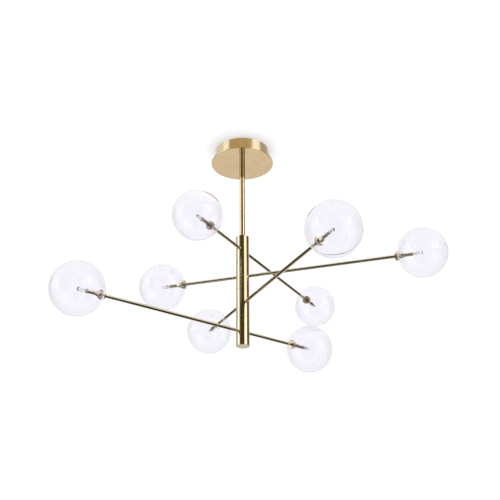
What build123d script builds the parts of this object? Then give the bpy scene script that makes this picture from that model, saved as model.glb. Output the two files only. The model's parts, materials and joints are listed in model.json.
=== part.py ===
"""Semi-flush ceiling light: four straight arms stacked on one hub, each turning on the down rod, with
a glass globe round a small capsule bulb at both ends of every arm.

Millimetres, +Z up. The origin is the middle of the ceiling bracket's top face, where the light meets
the ceiling. Seen from the front, +X is to the right and +Y is away. Arms are numbered from the top.
"""

from build123d import *

import os
from math import cos, radians, sin, sqrt

# Canopy and what it hides
canopy_drum_diameter = 145.0
canopy_lip = 10.0
canopy_depth = 37.0
canopy_floor_thickness = 2.0
canopy_wall = 1.2
canopy_edge_radius = 0.6
canopy_screw_drop = 10.0
canopy_screw_diameter = 3.9
screw_head_diameter = 6.0
screw_head_height = 1.3
screw_slot_width = 0.9
screw_slot_depth = 0.5
screw_hole_clearance = 0.1
bracket_width = 24.0
bracket_thickness = 2.0
bracket_ear_height = 17.0
bracket_ear_clearance = 0.3
bracket_corner_radius = 3.0
bracket_cable_hole = 14.0
ceiling_slot_spacing = 90.0
ceiling_slot_width = 4.8
ceiling_slot_length = 18.0
driver_length = 64.0
driver_width = 36.0
driver_height = 20.0
driver_corner_radius = 3.0
driver_lid_step = 0.8
driver_lid_height = 4.0
terminal_length = 30.0
terminal_width = 16.0
terminal_height = 13.0
terminal_ways = 3
terminal_wire_hole = 3.4
terminal_screw_hole = 3.2
terminal_screw_depth = 6.0
wing_margin = 2.0
earth_screw_offset = 24.0
earth_screw_diameter = 3.9
earth_head_diameter = 8.0
earth_head_height = 2.6

# Down rod, and how it hangs in the canopy
drop_length = 220.0
rod_diameter = 14.0
rod_wall = 1.5
rod_flat_depth = 0.8
nipple_wall = 1.25
nipple_above_canopy = 18.0
nipple_in_rod = 15.0
canopy_hole_clearance = 0.15
rod_nut_width = 17.0
rod_nut_height = 5.0
rod_washer_diameter = 22.0
rod_washer_thickness = 1.5
lead_slot_width = 5.0
lead_slot_height = 12.0
rod_lead_diameter = 3.8
rod_lead_gap = 0.2
fit_clearance = 0.05

# Hub: four equal modules, parted by thin fixed spacers
hub_diameter = 33.0
hub_wall = 2.0
arm_pitch = 73.0
arm_below_module_top = 35.1
spacer_thickness = 1.2
seam_gap = 0.2
seam_chamfer = 0.25
web_thickness = 5.0
washer_pocket_depth = 0.4
washer_width = 2.0
running_clearance = 0.08
spigot_height = 4.0
stop_pin_diameter = 2.5
stop_pin_reach = 3.0
stop_slot_depth = 3.5
stop_clearance = 0.3
stop_pin_azimuth = 90.0
cap_stud_length = 12.0
cap_chamfer = 0.4

# Arms
long_reach = 448.0
short_reach = 219.0
arm_tube_diameter = 8.0
arm_tube_wall = 1.0
arm_tube_rod_gap = 1.6
tube_nut_width = 12.0
tube_nut_height = 3.0
tube_nut_clearance = 0.08
arm_lead_diameter = 1.5
arm_lead_gap = 0.2

# Lamp end. Its places along the arm are distances from the globe's centre, back towards the hub
globe_diameter = 120.0
globe_wall = 1.8
globe_hole_diameter = 20.6
cement_gap = 0.2
collar_diameter = 23.6
collar_thickness = 4.0
collar_barrel_length = 4.5
collar_chamfer = 0.5
stem_spigot_diameter = 14.0
stem_shoulder_diameter = 16.0
stem_shoulder_thickness = 2.5
stem_spigot_end = 50.0
stem_cone_end = 42.0
stem_tube_diameter = 9.0
stem_tube_wall = 0.7
stem_lip_diameter = 11.0
stem_lip_thickness = 1.5
stem_mouth = 22.0
stem_lead_bore = 5.0
stem_socket_depth = 8.0
lampholder_length = 13.0
lampholder_clearance = 0.1
lampholder_recess = 1.0
pin_spacing = 4.0
pin_diameter = 0.7
pin_length = 7.5
pin_clearance = 0.15
pinch_width = 6.8
pinch_thickness = 3.0
pinch_corner_radius = 0.6
pinch_length = 7.0
capsule_diameter = 9.0
capsule_tip_past_centre = 1.0
capsule_shoulder_length = 1.6
capsule_neck_diameter = 4.6

# Where each arm's long side points, in degrees from +X, and how far it may swing to either side
arm_azimuths = (61.2, -18.0, -65.6, 218.2)
swing_low = (-25.0, -10.0, -25.0, -150.0)
swing_high = (150.0, 25.0, 10.0, 25.0)

# Radii and heights that follow from the sizes
canopy_drum_radius = canopy_drum_diameter / 2
canopy_inner_radius = canopy_drum_radius - canopy_wall
canopy_disc_radius = canopy_drum_radius + canopy_lip
canopy_floor = -canopy_depth + canopy_floor_thickness
rod_radius = rod_diameter / 2
rod_bore_radius = rod_radius - rod_wall
nipple_radius = rod_bore_radius - fit_clearance
nipple_bore_radius = nipple_radius - nipple_wall
hub_radius = hub_diameter / 2
hub_bore_radius = hub_radius - hub_wall
hub_top = -canopy_depth - drop_length
module_length = arm_pitch - spacer_thickness - seam_gap
module_tops = [hub_top - spacer_thickness - seam_gap - n * arm_pitch for n in range(len(arm_azimuths))]
arm_heights = [top - arm_below_module_top for top in module_tops]
cap_seat = module_tops[-1] - module_length
web_bore_radius = rod_radius + running_clearance
spigot_radius = hub_bore_radius - running_clearance
washer_inner_radius = web_bore_radius + seam_gap
washer_outer_radius = washer_inner_radius + washer_width
stop_radius = (washer_outer_radius + hub_bore_radius) / 2
arm_tube_radius = arm_tube_diameter / 2
arm_tube_bore_radius = arm_tube_radius - arm_tube_wall
arm_tube_start = rod_radius + arm_tube_rod_gap
nut_seat = sqrt(hub_bore_radius**2 - (tube_nut_width / 2) ** 2) - tube_nut_clearance

# Places along the lamp end that follow from the sizes
globe_radius = globe_diameter / 2
globe_inner_radius = globe_radius - globe_wall
globe_hole_radius = globe_hole_diameter / 2
globe_rim = sqrt(globe_radius**2 - globe_hole_radius**2)
globe_inner_rim = sqrt(globe_inner_radius**2 - globe_hole_radius**2)
collar_seat = globe_rim + cement_gap
collar_back = collar_seat + collar_thickness
stem_back = collar_back + stem_shoulder_thickness
stem_bore_radius = stem_tube_diameter / 2 - stem_tube_wall
arm_tube_end = stem_back - stem_socket_depth
lampholder_front = stem_mouth + lampholder_recess
lampholder_back = lampholder_front + lampholder_length
pinch_front = lampholder_front - pinch_length
capsule_radius = capsule_diameter / 2

os.makedirs("parts", exist_ok=True)


def save(piece, name):
    """Label a finished piece and write it under its own name."""
    piece.label = name
    export_step(piece, f"parts/{name}.step")


def heading(azimuth):
    """Level unit vector at this azimuth."""
    return Vector(cos(radians(azimuth)), sin(radians(azimuth)), 0)


def along_arm(height, azimuth, reach=0):
    """Upright plane that holds an arm's axis: x runs outwards from this reach, and y is up."""
    out = heading(azimuth)
    return Plane(origin=out * reach + Vector(0, 0, height), x_dir=out, z_dir=out.cross(Vector(0, 0, 1)))


def across_arm(height, azimuth, reach):
    """Plane square to an arm at this reach: its normal points outwards, and y is up."""
    out = heading(azimuth)
    return Plane(origin=out * reach + Vector(0, 0, height), x_dir=Vector(0, 0, 1).cross(out), z_dir=out)


def keyed_disc(radius):
    """Disc with the bore that fits the rod's flat, for the sketch being drawn."""
    flat = rod_radius - rod_flat_depth + fit_clearance
    Circle(radius)
    Circle(rod_radius + fit_clearance, mode=Mode.SUBTRACT)
    with Locations((flat + rod_flat_depth / 2, 0)):
        Rectangle(rod_flat_depth, rod_diameter)


# Ceiling bracket: a steel strip with two turned-down ears, and a wing each for driver and terminals
ear_outer = sqrt(canopy_inner_radius**2 - (bracket_width / 2) ** 2) - bracket_ear_clearance
driver_middle = bracket_width / 2 + wing_margin + driver_width / 2
terminal_middle = -bracket_width / 2 - wing_margin - terminal_width / 2
with BuildPart() as ceiling_bracket:
    with BuildSketch(Plane.XY):
        Rectangle(2 * ear_outer, bracket_width)
        for middle, length, width in (
            (driver_middle, driver_length, driver_width),
            (terminal_middle, terminal_length, terminal_width),
        ):
            with Locations((0, middle / 2)):
                Rectangle(length / 2, abs(middle))
            with Locations((0, middle)):
                RectangleRounded(length, width, bracket_corner_radius)
    extrude(amount=-bracket_thickness)
    with BuildSketch(Plane.XY):
        with Locations((bracket_thickness / 2 - ear_outer, 0), (ear_outer - bracket_thickness / 2, 0)):
            Rectangle(bracket_thickness, bracket_width)
    extrude(amount=-bracket_ear_height)
    with BuildSketch(Plane.XY):
        with Locations((-ceiling_slot_spacing / 2, 0), (ceiling_slot_spacing / 2, 0)):
            SlotOverall(ceiling_slot_length, ceiling_slot_width)
        Circle(bracket_cable_hole / 2)
        with Locations((-earth_screw_offset, 0)):
            Circle(earth_screw_diameter / 2 + fit_clearance)
    extrude(amount=-bracket_thickness, mode=Mode.SUBTRACT)
    with BuildSketch(Plane.YZ.offset(-ear_outer)):
        with Locations((0, -canopy_screw_drop)):
            Circle(canopy_screw_diameter / 2 + fit_clearance)
    extrude(amount=2 * ear_outer, mode=Mode.SUBTRACT)
save(ceiling_bracket.part, "ceiling_bracket")

# Canopy: a drum, open to the ceiling, brazed on a wider flat disc. The disc has a hole for the nipple,
# and the drum one in each side for a screw
with BuildPart() as canopy:
    with BuildSketch(Plane.XY.offset(-canopy_depth)):
        Circle(canopy_disc_radius)
    extrude(amount=canopy_floor_thickness)
    fillet(canopy.edges().filter_by(GeomType.CIRCLE), radius=canopy_edge_radius)
    with BuildSketch(Plane.XY):
        Circle(canopy_drum_radius)
        Circle(canopy_inner_radius, mode=Mode.SUBTRACT)
    extrude(amount=canopy_floor)
    with BuildSketch(Plane.XY.offset(-canopy_depth)):
        Circle(nipple_radius + canopy_hole_clearance)
    extrude(amount=canopy_floor_thickness, mode=Mode.SUBTRACT)
    with BuildSketch(Plane.YZ.offset(-canopy_drum_radius)):
        with Locations((0, -canopy_screw_drop)):
            Circle(canopy_screw_diameter / 2 + screw_hole_clearance)
    extrude(amount=canopy_drum_diameter, mode=Mode.SUBTRACT)
save(canopy.part, "canopy")

# Two slotted screws hold the canopy's drum to the bracket's ears
shank_length = canopy_drum_radius - ear_outer + bracket_thickness + canopy_wall
with BuildPart() as canopy_screws:
    for side in (-1, 1):
        head_seat = Plane(origin=(side * canopy_drum_radius, 0, -canopy_screw_drop), z_dir=(side, 0, 0))
        with BuildSketch(head_seat):
            Circle(canopy_screw_diameter / 2)
        extrude(amount=-shank_length)
        with BuildSketch(head_seat):
            Circle(screw_head_diameter / 2)
        extrude(amount=screw_head_height)
        with BuildSketch(head_seat.offset(screw_head_height)):
            Rectangle(screw_head_diameter, screw_slot_width)
        extrude(amount=-screw_slot_depth, mode=Mode.SUBTRACT)
save(canopy_screws.part, "canopy_screws")

# Driver: the twelve-volt supply, a moulded case whose lid is a step wider, flat under its wing
with BuildPart() as driver:
    with BuildSketch(Plane.XY.offset(-bracket_thickness)):
        with Locations((0, driver_middle)):
            RectangleRounded(driver_length, driver_width, driver_corner_radius)
    extrude(amount=-driver_lid_height)
    with BuildSketch(Plane.XY.offset(-bracket_thickness - driver_lid_height)):
        with Locations((0, driver_middle)):
            RectangleRounded(
                driver_length - 2 * driver_lid_step,
                driver_width - 2 * driver_lid_step,
                driver_corner_radius - driver_lid_step,
            )
    extrude(amount=driver_lid_height - driver_height)
    fillet(driver.edges().group_by(Axis.Z)[0], radius=driver_lid_step)
save(driver.part, "driver")

# Terminal block: a moulded bar with a wire hole and a screw well for each way
with BuildPart() as terminal_block:
    with BuildSketch(Plane.XY.offset(-bracket_thickness)):
        with Locations((0, terminal_middle)):
            Rectangle(terminal_length, terminal_width)
    extrude(amount=-terminal_height)
    with BuildSketch(Plane.XZ.offset(-terminal_middle - terminal_width / 2)):
        with Locations((0, -bracket_thickness - terminal_height / 2)):
            with GridLocations(terminal_length / terminal_ways, 0, terminal_ways, 1):
                Circle(terminal_wire_hole / 2)
    extrude(amount=terminal_width, mode=Mode.SUBTRACT)
    with BuildSketch(Plane.XY.offset(-bracket_thickness - terminal_height)):
        with Locations((0, terminal_middle)):
            with GridLocations(terminal_length / terminal_ways, 0, terminal_ways, 1):
                Circle(terminal_screw_hole / 2)
    extrude(amount=terminal_screw_depth, mode=Mode.SUBTRACT)
save(terminal_block.part, "terminal_block")

# Earth screw, up through the bracket
with BuildPart() as earth_screw:
    earth_seat = Plane(origin=(-earth_screw_offset, 0, -bracket_thickness), z_dir=(0, 0, -1))
    with BuildSketch(earth_seat):
        Circle(earth_screw_diameter / 2)
    extrude(amount=-bracket_thickness)
    with BuildSketch(earth_seat):
        Circle(earth_head_diameter / 2)
    extrude(amount=earth_head_height)
    with BuildSketch(earth_seat.offset(earth_head_height)):
        Rectangle(earth_head_diameter, screw_slot_width)
    extrude(amount=-2 * screw_slot_depth, mode=Mode.SUBTRACT)
save(earth_screw.part, "earth_screw")

# Down rod: one tube from the canopy to the end cap. Inside the hub a flat along it keys the spacers,
# and a slot level with each arm lets the leads out
rod_length = -canopy_depth - cap_seat
with BuildPart() as down_rod:
    with BuildSketch(Plane.XY.offset(cap_seat)):
        Circle(rod_radius)
        Circle(rod_bore_radius, mode=Mode.SUBTRACT)
    extrude(amount=rod_length)
    with BuildSketch(Plane.XY.offset(cap_seat)):
        with Locations((rod_radius - rod_flat_depth / 2, 0)):
            Rectangle(rod_flat_depth, rod_diameter)
    extrude(amount=module_tops[0] - cap_seat, mode=Mode.SUBTRACT)
    with BuildSketch(Plane.XZ.offset(-rod_radius)):
        with Locations([(0, height) for height in arm_heights]):
            SlotOverall(lead_slot_height, lead_slot_width, rotation=90)
    extrude(amount=rod_diameter, mode=Mode.SUBTRACT)
save(down_rod.part, "down_rod")

# Hollow nipple in the rod's top, with its washer and nut on the canopy's floor
with BuildPart() as rod_nipple:
    with BuildSketch(Plane.XY.offset(-canopy_depth - nipple_in_rod)):
        Circle(nipple_radius)
        Circle(nipple_bore_radius, mode=Mode.SUBTRACT)
    extrude(amount=nipple_in_rod + nipple_above_canopy)
save(rod_nipple.part, "rod_nipple")

with BuildPart() as rod_washer:
    with BuildSketch(Plane.XY.offset(canopy_floor)):
        Circle(rod_washer_diameter / 2)
        Circle(nipple_radius + fit_clearance, mode=Mode.SUBTRACT)
    extrude(amount=rod_washer_thickness)
save(rod_washer.part, "rod_washer")

with BuildPart() as rod_nut:
    with BuildSketch(Plane.XY.offset(canopy_floor + rod_washer_thickness)):
        RegularPolygon(rod_nut_width / 2, 6, major_radius=False)
        Circle(nipple_radius + fit_clearance, mode=Mode.SUBTRACT)
    extrude(amount=rod_nut_height)
save(rod_nut.part, "rod_nut")

# Two leads from the nipple's mouth down to the lowest arm
with BuildPart() as rod_leads:
    with BuildSketch(Plane.XY.offset(arm_heights[-1])):
        with GridLocations(0, rod_lead_diameter + rod_lead_gap, 1, 2):
            Circle(rod_lead_diameter / 2)
    extrude(amount=nipple_above_canopy - canopy_depth - arm_heights[-1])
save(rod_leads.part, "rod_leads")

# Top disc, brazed to the rod. A stop pin sits in it, as in every spacer
with BuildPart() as hub_top_disc:
    with BuildSketch(Plane.XY.offset(hub_top)):
        Circle(hub_radius)
        Circle(rod_radius + fit_clearance, mode=Mode.SUBTRACT)
    extrude(amount=-spacer_thickness)
    chamfer(hub_top_disc.edges().group_by(Axis.Z)[-1].sort_by(SortBy.RADIUS)[-1], length=cap_chamfer)
    with BuildSketch(Plane.XY.offset(hub_top)):
        with PolarLocations(stop_radius, 1, stop_pin_azimuth):
            Circle(stop_pin_diameter / 2)
    extrude(amount=-spacer_thickness, mode=Mode.SUBTRACT)
save(hub_top_disc.part, "hub_top_disc")

# Spacers: a thin flange between two modules, under a spigot that centres the module above. Keyed to
# the rod, so that turning one arm doesn't drag the next
with BuildPart() as hub_spacers:
    for top in module_tops[1:]:
        flange_bottom = top + seam_gap
        with BuildSketch(Plane.XY.offset(flange_bottom)):
            keyed_disc(hub_radius)
        extrude(amount=spacer_thickness)
        with BuildSketch(Plane.XY.offset(flange_bottom + spacer_thickness)):
            keyed_disc(spigot_radius)
        extrude(amount=spigot_height)
        with BuildSketch(Plane.XY.offset(flange_bottom)):
            with PolarLocations(stop_radius, 1, stop_pin_azimuth):
                Circle(stop_pin_diameter / 2)
        extrude(amount=spacer_thickness, mode=Mode.SUBTRACT)
save(hub_spacers.part, "hub_spacers")

# Stop pins hang from the top disc and the spacers into the arc slots of the modules
with BuildPart() as stop_pins:
    for top in module_tops:
        with BuildSketch(Plane.XY.offset(top - stop_pin_reach)):
            with PolarLocations(stop_radius, 1, stop_pin_azimuth):
                Circle(stop_pin_diameter / 2)
        extrude(amount=stop_pin_reach + seam_gap + spacer_thickness)
save(stop_pins.part, "stop_pins")

# Friction washers, each in the pocket on top of a module, keep an arm where it is put
with BuildPart() as friction_washers:
    for top in module_tops:
        with BuildSketch(Plane.XY.offset(top - washer_pocket_depth)):
            Circle(washer_outer_radius)
            Circle(washer_inner_radius, mode=Mode.SUBTRACT)
        extrude(amount=washer_pocket_depth + seam_gap)
save(friction_washers.part, "friction_washers")

# End cap: a plain disc with a spigot for the last module, and a stud that screws into the rod
with BuildPart() as hub_end_cap:
    with BuildSketch(Plane.XY.offset(cap_seat)):
        Circle(hub_radius)
    extrude(amount=-spacer_thickness)
    chamfer(hub_end_cap.edges().group_by(Axis.Z)[0], length=cap_chamfer)
    with BuildSketch(Plane.XY.offset(cap_seat)):
        Circle(spigot_radius)
        Circle(rod_radius + fit_clearance, mode=Mode.SUBTRACT)
    extrude(amount=spigot_height)
    with BuildSketch(Plane.XY.offset(cap_seat)):
        Circle(rod_bore_radius - fit_clearance)
    extrude(amount=cap_stud_length)
save(hub_end_cap.part, "hub_end_cap")


def make_hub_module(top, height, azimuth, low, high):
    """Length of hub tube, closed on top by a web that runs on the rod and holds the stop's slot."""
    with BuildPart() as hub_module:
        with BuildSketch(Plane.XY.offset(top)):
            Circle(hub_radius)
        extrude(amount=-module_length)
        chamfer(hub_module.edges().filter_by(GeomType.CIRCLE), length=seam_chamfer)
        with BuildSketch(Plane.XY.offset(top - web_thickness)):
            Circle(hub_bore_radius)
        extrude(amount=web_thickness - module_length, mode=Mode.SUBTRACT)
        with BuildSketch(Plane.XY.offset(top)):
            Circle(web_bore_radius)
        extrude(amount=-web_thickness, mode=Mode.SUBTRACT)
        with BuildSketch(Plane.XY.offset(top)):
            Circle(washer_outer_radius + seam_gap)
        extrude(amount=-washer_pocket_depth, mode=Mode.SUBTRACT)
        with BuildSketch(Plane.XY.offset(top)):
            pin_path = CenterArc((0, 0), stop_radius, stop_pin_azimuth - high, high - low, mode=Mode.PRIVATE)
            SlotArc(pin_path, stop_pin_diameter + 2 * stop_clearance)
        extrude(amount=-stop_slot_depth, mode=Mode.SUBTRACT)
        with BuildSketch(across_arm(height, azimuth, -hub_radius)):
            Circle(arm_tube_radius + fit_clearance)
        extrude(amount=hub_diameter, mode=Mode.SUBTRACT)
    return hub_module.part


def make_tube_nuts(height, azimuth):
    """Two thin locknuts, flat sides upright, where the tubes come through the module's wall."""
    with BuildPart() as tube_nuts:
        for side in (azimuth, azimuth + 180):
            with BuildSketch(across_arm(height, side, nut_seat)):
                RegularPolygon(tube_nut_width / 2, 6, major_radius=False, rotation=30)
                Circle(arm_tube_radius + fit_clearance, mode=Mode.SUBTRACT)
            extrude(amount=-tube_nut_height)
    return tube_nuts.part


def make_arm_tube(height, azimuth, reach):
    """One side of the arm, from beside the rod into the stem's socket."""
    with BuildPart() as arm_tube:
        with BuildSketch(across_arm(height, azimuth, arm_tube_start)):
            Circle(arm_tube_radius)
            Circle(arm_tube_bore_radius, mode=Mode.SUBTRACT)
        extrude(amount=reach - arm_tube_end - arm_tube_start)
    return arm_tube.part


def make_globe(height, azimuth, reach):
    """Blown globe: a spherical shell turned about the arm's axis, with one hole towards the hub."""
    with BuildPart() as globe:
        with BuildSketch(along_arm(height, azimuth, reach)):
            with BuildLine():
                outside = ThreePointArc((-globe_rim, globe_hole_radius), (0, globe_radius), (globe_radius, 0))
                inside = ThreePointArc(
                    (-globe_inner_rim, globe_hole_radius), (0, globe_inner_radius), (globe_inner_radius, 0)
                )
                Line(outside @ 0, inside @ 0)
                Line(outside @ 1, inside @ 1)
            make_face()
        revolve(axis=Axis((0, 0, height), heading(azimuth)))
    return globe.part


def make_globe_collars(height, ends):
    """Turned rings, each with a barrel through the globe's hole, cemented there."""
    with BuildPart() as globe_collars:
        for azimuth, reach in ends:
            with BuildSketch(across_arm(height, azimuth, reach - collar_back)):
                Circle(collar_diameter / 2)
            extrude(amount=collar_thickness)
            chamfer(globe_collars.edges(Select.LAST).filter_by(GeomType.CIRCLE), length=collar_chamfer)
            with BuildSketch(across_arm(height, azimuth, reach - collar_seat)):
                Circle(globe_hole_radius - cement_gap)
            extrude(amount=collar_barrel_length)
            with BuildSketch(across_arm(height, azimuth, reach - collar_back)):
                Circle(stem_spigot_diameter / 2 + fit_clearance)
            extrude(amount=collar_thickness + collar_barrel_length, mode=Mode.SUBTRACT)
    return globe_collars.part


def make_lamp_stems(height, ends):
    """Turned stems: shoulder, spigot in the collar, cone, slim tube and lip, bored from both ends."""
    with BuildPart() as lamp_stems:
        for azimuth, reach in ends:
            with BuildSketch(along_arm(height, azimuth, reach)):
                with BuildLine():
                    Polyline(
                        (-stem_back, arm_tube_radius + fit_clearance),
                        (-stem_back, stem_shoulder_diameter / 2),
                        (-collar_back, stem_shoulder_diameter / 2),
                        (-collar_back, stem_spigot_diameter / 2),
                        (-stem_spigot_end, stem_spigot_diameter / 2),
                        (-stem_cone_end, stem_tube_diameter / 2),
                        (-stem_mouth - stem_lip_thickness, stem_tube_diameter / 2),
                        (-stem_mouth - stem_lip_thickness, stem_lip_diameter / 2),
                        (-stem_mouth, stem_lip_diameter / 2),
                        (-stem_mouth, stem_bore_radius),
                        (-lampholder_back, stem_bore_radius),
                        (-lampholder_back, stem_lead_bore / 2),
                        (-arm_tube_end, stem_lead_bore / 2),
                        (-arm_tube_end, arm_tube_radius + fit_clearance),
                        close=True,
                    )
                make_face()
            revolve(axis=Axis((0, 0, height), heading(azimuth)))
    return lamp_stems.part


def make_lampholders(height, ends):
    """Ceramic inserts in the stems' mouths, each with two holes for the bulb's pins."""
    with BuildPart() as lampholders:
        for azimuth, reach in ends:
            with BuildSketch(across_arm(height, azimuth, reach - lampholder_back)):
                Circle(stem_bore_radius - lampholder_clearance)
                with GridLocations(pin_spacing, 0, 2, 1):
                    Circle(pin_diameter / 2 + pin_clearance, mode=Mode.SUBTRACT)
            extrude(amount=lampholder_length)
    return lampholders.part


def make_bulbs(height, ends):
    """Capsule bulbs: a round-ended capsule, the flat pinch behind it, and two pins."""
    tip = capsule_tip_past_centre
    with BuildPart() as bulbs:
        for azimuth, reach in ends:
            with BuildSketch(along_arm(height, azimuth, reach)):
                with BuildLine():
                    round_end = CenterArc((tip - capsule_radius, 0), capsule_radius, 0, 90)
                    Polyline(
                        round_end @ 1,
                        (capsule_shoulder_length - pinch_front, capsule_radius),
                        (-pinch_front, capsule_neck_diameter / 2),
                        (-pinch_front, 0),
                        round_end @ 0,
                    )
                make_face()
            revolve(axis=Axis((0, 0, height), heading(azimuth)))
            with BuildSketch(across_arm(height, azimuth, reach - lampholder_front)):
                RectangleRounded(pinch_width, pinch_thickness, pinch_corner_radius)
            extrude(amount=pinch_length + capsule_shoulder_length)
            with BuildSketch(across_arm(height, azimuth, reach - lampholder_front)):
                with GridLocations(pin_spacing, 0, 2, 1):
                    Circle(pin_diameter / 2)
            extrude(amount=-pin_length)
    return bulbs.part


def make_arm_leads(height, ends):
    """Two leads in each side of the arm, from the hub to the back of the ceramic."""
    with BuildPart() as arm_leads:
        for azimuth, reach in ends:
            with BuildSketch(across_arm(height, azimuth, arm_tube_start)):
                with GridLocations(arm_lead_diameter + arm_lead_gap, 0, 2, 1):
                    Circle(arm_lead_diameter / 2)
            extrude(amount=reach - lampholder_back - arm_tube_start)
    return arm_leads.part


for number, azimuth in enumerate(arm_azimuths, start=1):
    top = module_tops[number - 1]
    height = arm_heights[number - 1]
    ends = ((azimuth, long_reach), (azimuth + 180, short_reach))
    module = make_hub_module(top, height, azimuth, swing_low[number - 1], swing_high[number - 1])
    save(module, f"hub_module_{number}")
    save(make_tube_nuts(height, azimuth), f"tube_nuts_{number}")
    for side, (side_azimuth, reach) in zip(("long", "short"), ends):
        save(make_arm_tube(height, side_azimuth, reach), f"{side}_tube_{number}")
        save(make_globe(height, side_azimuth, reach), f"{side}_globe_{number}")
    save(make_globe_collars(height, ends), f"globe_collars_{number}")
    save(make_lamp_stems(height, ends), f"lamp_stems_{number}")
    save(make_lampholders(height, ends), f"lampholders_{number}")
    save(make_bulbs(height, ends), f"bulbs_{number}")
    save(make_arm_leads(height, ends), f"arm_leads_{number}")
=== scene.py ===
"""Looks of the ceiling light: satin brass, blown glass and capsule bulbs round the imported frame.

Blender works in metres. Shapes are written in millimetres and scaled where their points are made.
"""

import json
from math import cos, hypot, pi, radians, sin, sqrt

import bpy
import numpy as np
from mathutils import Matrix, Vector


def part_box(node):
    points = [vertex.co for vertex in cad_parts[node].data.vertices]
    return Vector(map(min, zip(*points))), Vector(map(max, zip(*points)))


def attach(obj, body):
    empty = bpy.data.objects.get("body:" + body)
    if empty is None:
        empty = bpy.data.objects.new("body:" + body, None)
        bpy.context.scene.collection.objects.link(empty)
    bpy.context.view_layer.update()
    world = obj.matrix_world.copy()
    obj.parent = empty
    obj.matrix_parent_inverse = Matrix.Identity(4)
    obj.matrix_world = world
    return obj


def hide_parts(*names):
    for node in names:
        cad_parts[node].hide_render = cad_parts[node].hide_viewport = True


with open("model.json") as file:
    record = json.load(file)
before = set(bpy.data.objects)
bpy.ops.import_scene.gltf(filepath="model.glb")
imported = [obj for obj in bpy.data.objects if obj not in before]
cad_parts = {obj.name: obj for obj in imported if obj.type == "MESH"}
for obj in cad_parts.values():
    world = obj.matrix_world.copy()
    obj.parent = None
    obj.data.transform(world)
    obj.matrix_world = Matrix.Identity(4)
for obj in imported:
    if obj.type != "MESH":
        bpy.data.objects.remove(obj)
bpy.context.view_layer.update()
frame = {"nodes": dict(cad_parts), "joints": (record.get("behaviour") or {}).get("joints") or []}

MM = 0.001
ARMS = (1, 2, 3, 4)
SIDES = ("long", "short")

# Camera, fitted to the photograph: its distance in front of the rod and below the hub's top, its turn,
# and a focal length in pixels of the frame
CAMERA_DISTANCE = 1881.3
CAMERA_DROP = 928.8
CAMERA_PITCH = radians(25.407)
CAMERA_YAW = radians(0.578)
CAMERA_ROLL = radians(-0.481)
FOCAL_PIXELS = 815.48
PHOTO_PIXELS = 500
SENSOR_WIDTH = 36.0

# Canopy, in millimetres, as all the sizes of shapes below
CANOPY_RADIUS = 82.5
DRUM_RADIUS = 72.5
CANOPY_WALL = 1.2
CANOPY_PLATE = 2.0
CANOPY_EDGE = 0.6
CANOPY_BRAZE = 0.4
CANOPY_HOLE = 5.6
EDGE_GUARD = 0.1

# Rod and hub
ROD_RADIUS = 7.0
ROD_BORE = 5.5
ROD_FIT = 0.05
HUB_RADIUS = 16.5
HUB_BORE = 14.5
HUB_FIT = 0.08
HUB_SPIGOT = HUB_BORE - HUB_FIT
SPIGOT_HEIGHT = 4.0
PLATE_BORE = ROD_RADIUS + ROD_FIT
SPACER = 1.2
WEB = 5.0
WEB_BORE = 7.08
CAP_PLUG_HEIGHT = 12.0
CAP_PLUG_RADIUS = ROD_BORE - ROD_FIT

# Arm tubes: where one starts from the rod's axis, and how deep it goes into its stem
TUBE_RADIUS = 4.0
TUBE_BORE = 3.0
TUBE_START = 8.6
TUBE_SOCKET = 8.0

# Globes. The two walls stop short of the hole by an angle in degrees, to leave room for the rounded rim
GLOBE_RADIUS = 60.0
GLOBE_WALL = 1.8
GLOBE_HOLE = 10.3
GLOBE_RIM_ANGLE = 1.2

# Collar, cemented in a globe's hole
CEMENT = 0.2
COLLAR_RADIUS = 11.8
COLLAR_THICKNESS = 4.0
COLLAR_BORE = 7.05
BARREL_RADIUS = 10.1
BARREL_LENGTH = 4.5

# Stem. Places along an arm count from the globe's centre, outwards positive, for bulb and ceramic too
SHOULDER_LENGTH = 2.5
SHOULDER_RADIUS = 8.0
STEM_SPIGOT_RADIUS = 7.0
STEM_SPIGOT_END = -50.0
CONE_END = -42.0
STEM_RADIUS = 4.5
LIP_BACK = -23.5
LIP_RADIUS = 5.5
STEM_MOUTH = -22.0
STEM_BORE = 3.8
LEAD_BORE = 2.5
SOCKET_BORE = 4.05

# Ceramic insert
CERAMIC_BACK = -36.0
CERAMIC_FACE = -23.0
CERAMIC_RADIUS = 3.7

# Capsule bulb: centres of its round end and of the arc of its neck, outside and in the hollow
CAPSULE_RADIUS = 4.5
CAPSULE_TOP = -3.5
NECK_RADIUS = 3.0
NECK_START = -13.0
NECK_END = -16.4
HOLLOW_RADIUS = 3.8
HOLLOW_NECK_RADIUS = 2.3
HOLLOW_NECK_START = -12.6
HOLLOW_END = -14.6
NECK_AXIS = CAPSULE_RADIUS - NECK_RADIUS

# Pinch, from the ceramic's face into the capsule's neck
PINCH_HALF_WIDTH = 3.4
PINCH_HALF_THICKNESS = 1.5
PINCH_CORNER = 0.7
PINCH_END = -15.6
PINCH_STATIONS = 12
PINCH_SWELL = 0.05

# Filament, its legs and its foils. The right leg runs through the points listed to the filament's end
FILAMENT_TURNS = 12
FILAMENT_TURN_STEPS = 12
FILAMENT_RADIUS = 0.45
FILAMENT_START = -11.0
FILAMENT_END = -6.5
FILAMENT_WIRE = 0.1
LEG_WIRE = 0.12
LEG_FOOT = -17.0
LEG_SPREAD = 1.7
LEG_STEPS = 10
RIGHT_LEG = ((LEG_FOOT, -LEG_SPREAD, 0), (-12.0, -1.9, 0), (-6.5, -1.9, 0), (-5.4, -1.3, 0))
FOIL_FOOT = -21.0
FOIL_RADIUS = 0.7
WIRE_SIDES = 8
NO_WIRES_HEADING = (0.3, 0.2, 1.0)

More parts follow.
